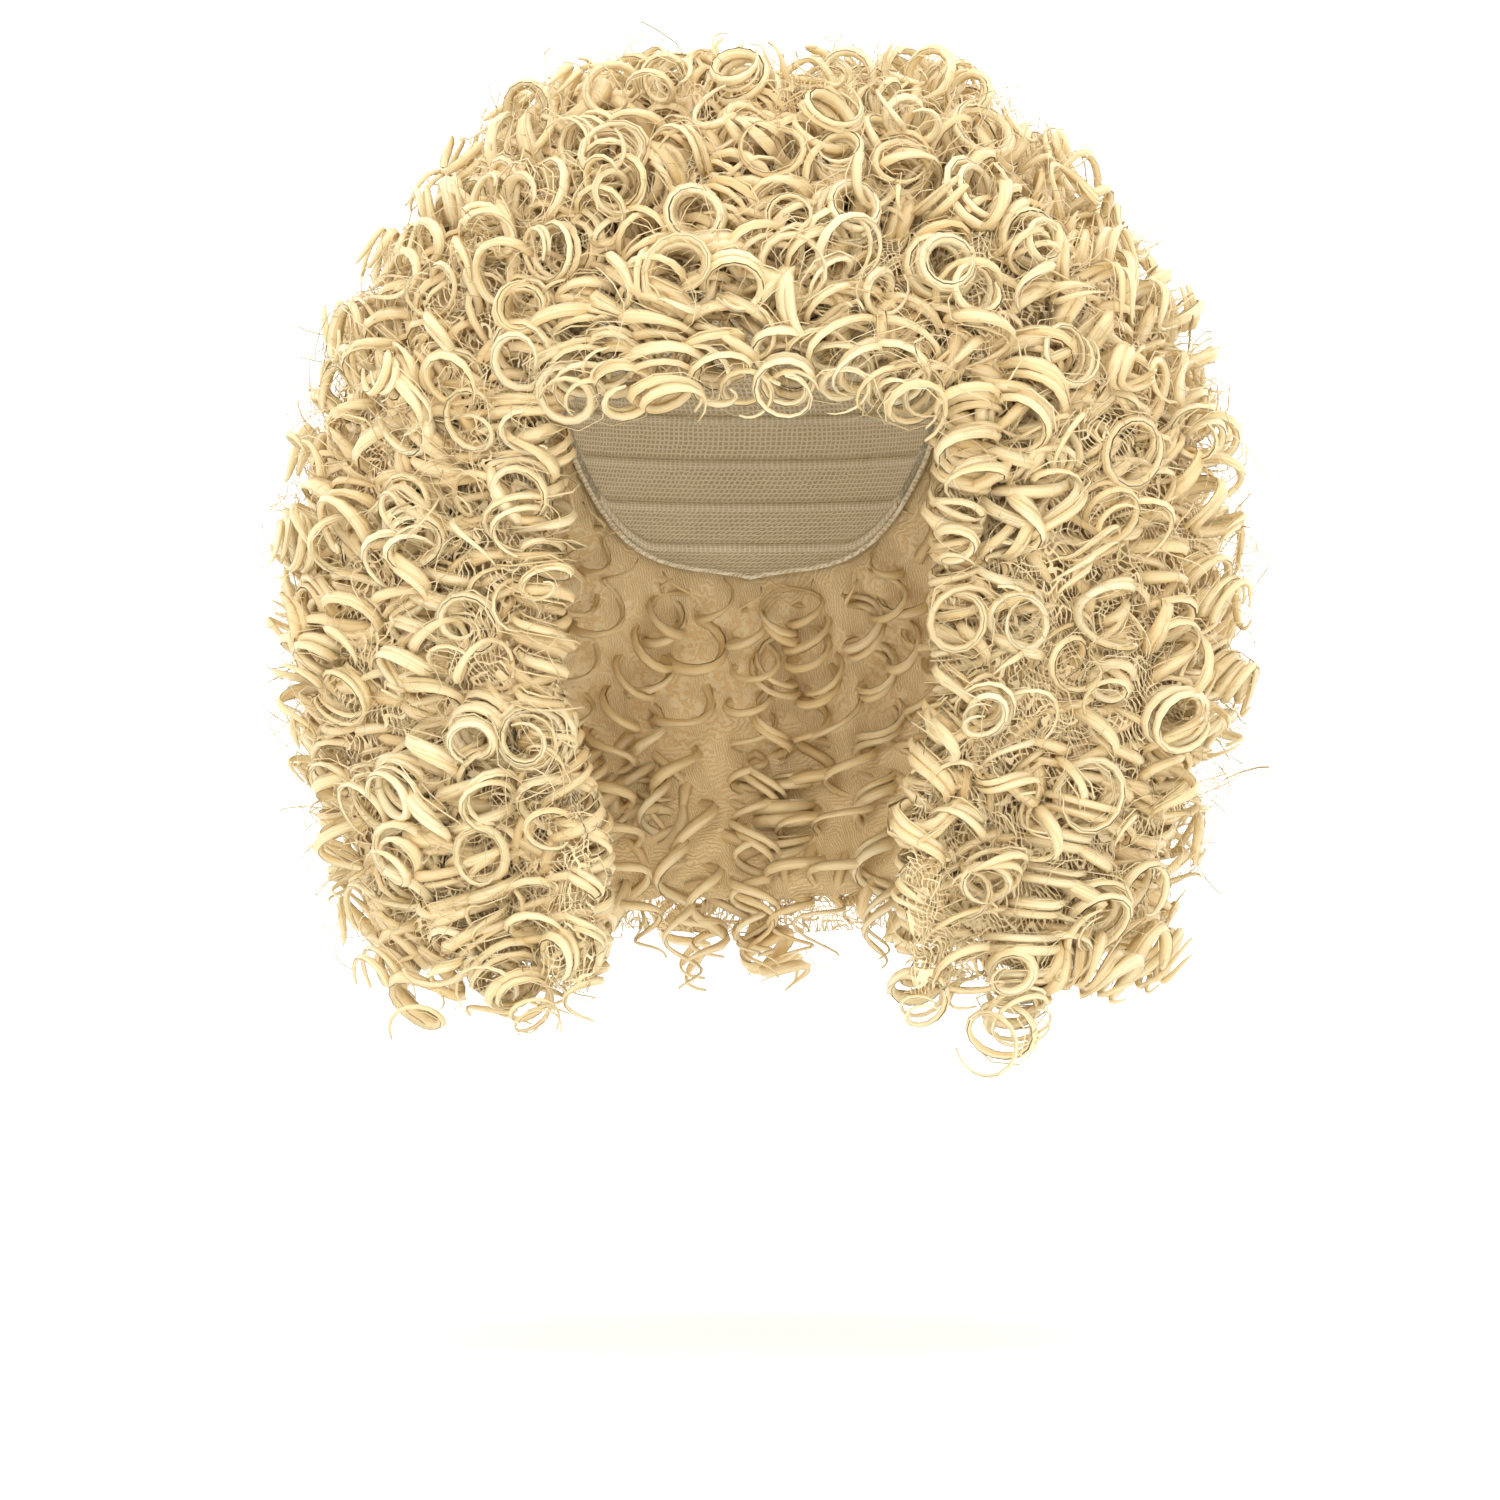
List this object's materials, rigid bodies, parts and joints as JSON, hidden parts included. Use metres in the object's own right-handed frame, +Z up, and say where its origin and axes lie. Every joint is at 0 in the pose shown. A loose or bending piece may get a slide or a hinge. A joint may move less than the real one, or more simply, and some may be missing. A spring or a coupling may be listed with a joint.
{
  "type": "afro wig",
  "caption": "Full shoulder-length wig of tight corkscrew curls with a curly fringe, on a close stretch cap open below for the head.",
  "frame": {"origin": "inside of the cap at the crown of the head that wears it", "axes": "+Z up, -Y the way the face looks, +X the wearer's left"},
  "size_m": [0.3656, 0.2814, 0.3724],
  "materials": {
    "cap_net": "matt knitted stretch net",
    "crown_hair": "soft sheen of curled fibre",
    "fringe_hair": "soft sheen of curled fibre",
    "side_hair": "soft sheen of curled fibre",
    "back_hair": "soft sheen of curled fibre"
  },
  "bodies": {
    "root": {"cap": "cap_net", "crown_curls": "crown_hair", "fringe_curls": "fringe_hair", "left_curls": "side_hair", "right_curls": "side_hair", "back_curls": "back_hair"}
  },
  "joints": []
}
